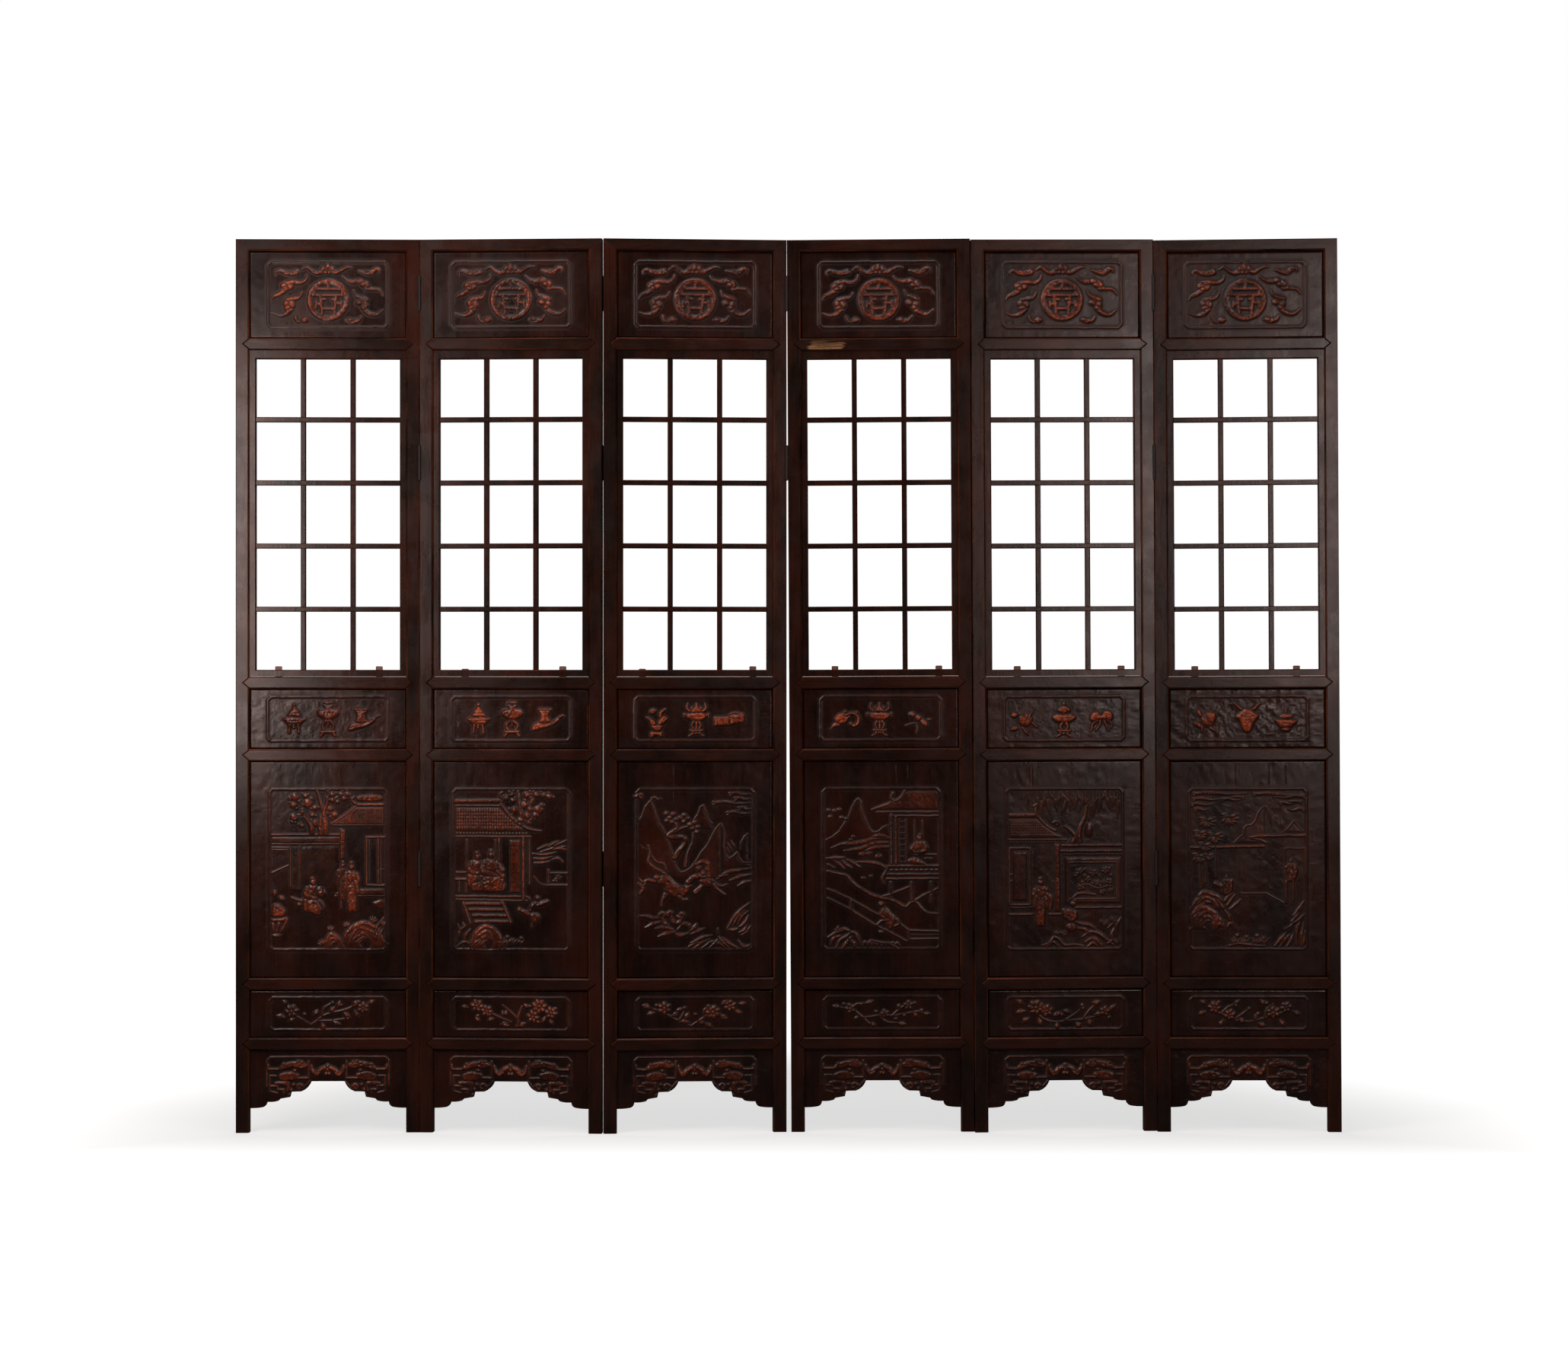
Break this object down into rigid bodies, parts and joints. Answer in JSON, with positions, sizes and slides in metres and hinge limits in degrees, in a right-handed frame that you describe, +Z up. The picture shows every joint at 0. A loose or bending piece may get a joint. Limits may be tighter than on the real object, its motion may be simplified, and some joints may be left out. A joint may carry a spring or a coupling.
{
  "type": "folding screen",
  "caption": "Free-standing folding screen of hinged dark wood leaves, each with a carved crest, an open lattice, carved lower panels and an arched apron.",
  "frame": {"origin": "middle of the footprint on the floor", "axes": "+X along the row of leaves to the viewer's right, +Y away from the viewer, +Z up; the carved faces look towards -Y"},
  "size_m": [2.4766, 0.0656, 2.0021],
  "materials": {
    "frame_wood": "worn dark brown lacquer",
    "panel_wood": "dark lacquer rubbed back to red-brown on the carving",
    "lattice_wood": "worn dark brown lacquer",
    "peg_wood": "worn bare wood",
    "hinge_iron": "dark forged iron"
  },
  "bodies": {
    "leaf_1": {"leaf_1_stiles": "frame_wood", "leaf_1_rails": "frame_wood", "leaf_1_lattice": "lattice_wood", "leaf_1_crest_panel": "panel_wood", "leaf_1_treasure_panel": "panel_wood", "leaf_1_scene_panel": "panel_wood", "leaf_1_flower_panel": "panel_wood", "leaf_1_apron": "panel_wood", "leaf_1_hinge_parts": "hinge_iron"},
    "leaf_1_pegs": {"leaf_1_lattice_pegs": "peg_wood"},
    "leaf_2": {"leaf_2_stiles": "frame_wood", "leaf_2_rails": "frame_wood", "leaf_2_lattice": "lattice_wood", "leaf_2_crest_panel": "panel_wood", "leaf_2_treasure_panel": "panel_wood", "leaf_2_scene_panel": "panel_wood", "leaf_2_flower_panel": "panel_wood", "leaf_2_apron": "panel_wood", "leaf_2_hinge_parts": "hinge_iron"},
    "leaf_2_pegs": {"leaf_2_lattice_pegs": "peg_wood"},
    "leaf_3": {"leaf_3_stiles": "frame_wood", "leaf_3_rails": "frame_wood", "leaf_3_lattice": "lattice_wood", "leaf_3_crest_panel": "panel_wood", "leaf_3_treasure_panel": "panel_wood", "leaf_3_scene_panel": "panel_wood", "leaf_3_flower_panel": "panel_wood", "leaf_3_apron": "panel_wood", "leaf_3_hinge_parts": "hinge_iron"},
    "leaf_3_pegs": {"leaf_3_lattice_pegs": "peg_wood"},
    "leaf_4": {"leaf_4_stiles": "frame_wood", "leaf_4_rails": "frame_wood", "leaf_4_lattice": "lattice_wood", "leaf_4_crest_panel": "panel_wood", "leaf_4_treasure_panel": "panel_wood", "leaf_4_scene_panel": "panel_wood", "leaf_4_flower_panel": "panel_wood", "leaf_4_apron": "panel_wood", "leaf_4_hinge_parts": "hinge_iron"},
    "leaf_4_pegs": {"leaf_4_lattice_pegs": "peg_wood"},
    "leaf_5": {"leaf_5_stiles": "frame_wood", "leaf_5_rails": "frame_wood", "leaf_5_lattice": "lattice_wood", "leaf_5_crest_panel": "panel_wood", "leaf_5_treasure_panel": "panel_wood", "leaf_5_scene_panel": "panel_wood", "leaf_5_flower_panel": "panel_wood", "leaf_5_apron": "panel_wood", "leaf_5_hinge_parts": "hinge_iron"},
    "leaf_5_pegs": {"leaf_5_lattice_pegs": "peg_wood"},
    "leaf_6": {"leaf_6_stiles": "frame_wood", "leaf_6_rails": "frame_wood", "leaf_6_lattice": "lattice_wood", "leaf_6_crest_panel": "panel_wood", "leaf_6_treasure_panel": "panel_wood", "leaf_6_scene_panel": "panel_wood", "leaf_6_flower_panel": "panel_wood", "leaf_6_apron": "panel_wood", "leaf_6_hinge_parts": "hinge_iron"},
    "leaf_6_pegs": {"leaf_6_lattice_pegs": "peg_wood"}
  },
  "joints": [
    {"name": "fold_1_2", "type": "hinge", "parent": "leaf_2", "child": "leaf_1", "pos_m": [-0.82764, -0.00887, 0], "axis": [0, 0, 1], "range_deg": [-5, 175]},
    {"name": "fold_2_3", "type": "hinge", "parent": "leaf_3", "child": "leaf_2", "pos_m": [-0.41633, -0.00197, 0], "axis": [0, 0, -1], "range_deg": [-8, 172]},
    {"name": "fold_3_4", "type": "hinge", "parent": "leaf_3", "child": "leaf_4", "pos_m": [-0.00497, -0.00169, 0], "axis": [0, 0, -1], "range_deg": [-6, 174]},
    {"name": "fold_4_5", "type": "hinge", "parent": "leaf_4", "child": "leaf_5", "pos_m": [0.41631, 0.01928, 0.00215], "axis": [-0.0052, 0.0001, 1], "range_deg": [-3.5, 176.5]},
    {"name": "fold_5_6", "type": "hinge", "parent": "leaf_5", "child": "leaf_6", "pos_m": [0.8273, 0.00162, 0.00215], "axis": [0.0052, -0.0001, -1], "range_deg": [-5, 175]},
    {"name": "leaf_1_pegs_lift", "type": "slide", "parent": "leaf_1", "child": "leaf_1_pegs", "axis": [0, 0, 1], "range_m": [0, 0.015]},
    {"name": "leaf_2_pegs_lift", "type": "slide", "parent": "leaf_2", "child": "leaf_2_pegs", "axis": [0, 0, 1], "range_m": [0, 0.015]},
    {"name": "leaf_3_pegs_lift", "type": "slide", "parent": "leaf_3", "child": "leaf_3_pegs", "axis": [0, 0, 1], "range_m": [0, 0.015]},
    {"name": "leaf_4_pegs_lift", "type": "slide", "parent": "leaf_4", "child": "leaf_4_pegs", "axis": [-0.0052, 0.0001, 1], "range_m": [0, 0.015]},
    {"name": "leaf_5_pegs_lift", "type": "slide", "parent": "leaf_5", "child": "leaf_5_pegs", "axis": [-0.0052, 0.0001, 1], "range_m": [0, 0.015]},
    {"name": "leaf_6_pegs_lift", "type": "slide", "parent": "leaf_6", "child": "leaf_6_pegs", "axis": [-0.0052, 0.0001, 1], "range_m": [0, 0.015]}
  ]
}
